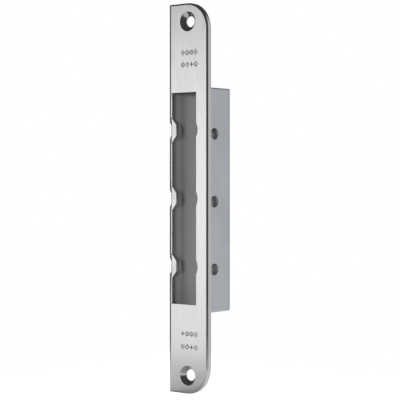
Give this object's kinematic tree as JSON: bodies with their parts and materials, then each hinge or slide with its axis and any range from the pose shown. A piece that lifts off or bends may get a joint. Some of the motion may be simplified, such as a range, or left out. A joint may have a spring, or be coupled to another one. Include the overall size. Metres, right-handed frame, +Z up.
{
  "type": "electric door strike",
  "caption": "Tall slotted face plate with a notched pivoting keeper, a sheet-metal box behind it, and a solenoid lock, spring return and keeper switch inside.",
  "frame": {"origin": "centre of the face plate's back face, which beds on the door frame, midway between its two screw holes", "axes": "+X across the plate, away from the keeper; +Y into the door frame; +Z up along the plate"},
  "size_m": [0.0264, 0.0263, 0.2],
  "materials": {
    "stainless": "satin-brushed stainless steel with rounded front edges",
    "keeper_metal": "satin nickel-plated cast steel",
    "zinc_sheet": "bright zinc-plated sheet steel with a faint blue tint",
    "pin_steel": "ground steel",
    "screw_steel": "zinc-plated screw steel",
    "spring_steel": "drawn spring wire",
    "iron": "passivated soft iron",
    "bobbin_plastic": "moulded black polyamide",
    "copper": "enamelled copper wire",
    "switch_plastic": "moulded thermoset",
    "button_plastic": "moulded acetal",
    "terminal_plastic": "moulded green polyamide",
    "brass_screw": "nickel-free brass",
    "rubber": "black nitrile rubber"
  },
  "bodies": {
    "frame": {"face_plate": "stainless", "clinch_studs": "screw_steel", "stud_nuts": "screw_steel", "housing": "zinc_sheet", "back_cover": "zinc_sheet", "cover_screws": "screw_steel", "pocket_floor": "zinc_sheet", "floor_rivets": "screw_steel", "keeper_pin": "pin_steel", "pin_washers": "screw_steel", "keeper_spring_upper": "spring_steel", "keeper_spring_lower": "spring_steel", "lever_pin": "pin_steel", "lever_clip": "spring_steel", "lever_spring": "spring_steel", "solenoid_yoke": "iron", "yoke_screws": "screw_steel", "coil_bobbin": "bobbin_plastic", "coil_winding": "copper", "fixed_core": "iron", "armature_spring": "spring_steel", "switch_body": "switch_plastic", "switch_screws": "screw_steel", "terminal_block": "terminal_plastic", "terminal_screws": "brass_screw", "grommet": "rubber"},
    "keeper": {"keeper": "keeper_metal"},
    "lever": {"locking_lever": "iron"},
    "armature": {"armature": "iron", "push_rod": "pin_steel"},
    "button": {"switch_button": "button_plastic"}
  },
  "joints": [
    {"name": "keeper_swing", "type": "hinge", "parent": "frame", "child": "keeper", "pos_m": [-0.0086, 0.015, 0], "axis": [0, 0, -1], "range_deg": [0, 40], "stiffness_Nm_per_rad": 0.02, "springref_deg": -34.38, "deforming": ["keeper_spring_upper", "keeper_spring_lower"]},
    {"name": "lever_swing", "type": "hinge", "parent": "frame", "child": "lever", "pos_m": [0.001, 0.0177, -0.029], "axis": [0, 1, 0], "range_deg": [0, 7.29], "stiffness_Nm_per_rad": 0.004, "springref_deg": -17.19, "deforming": ["lever_spring"]},
    {"name": "armature_slide", "type": "slide", "parent": "frame", "child": "armature", "axis": [0, 0, 1], "range_m": [-0.003, 0], "stiffness_N_per_m": 60, "springref_m": 0.002, "deforming": ["armature_spring"]},
    {"name": "button_slide", "type": "slide", "parent": "frame", "child": "button", "axis": [1, 0, 0], "range_m": [0, 0.00101], "stiffness_N_per_m": 8, "springref_m": -0.0005}
  ],
  "couplings": [
    {"joint": "lever_swing", "follows": "keeper_swing", "ratio": 0.18213},
    {"joint": "button_slide", "follows": "keeper_swing", "m_per_rad": 0.0014447}
  ]
}
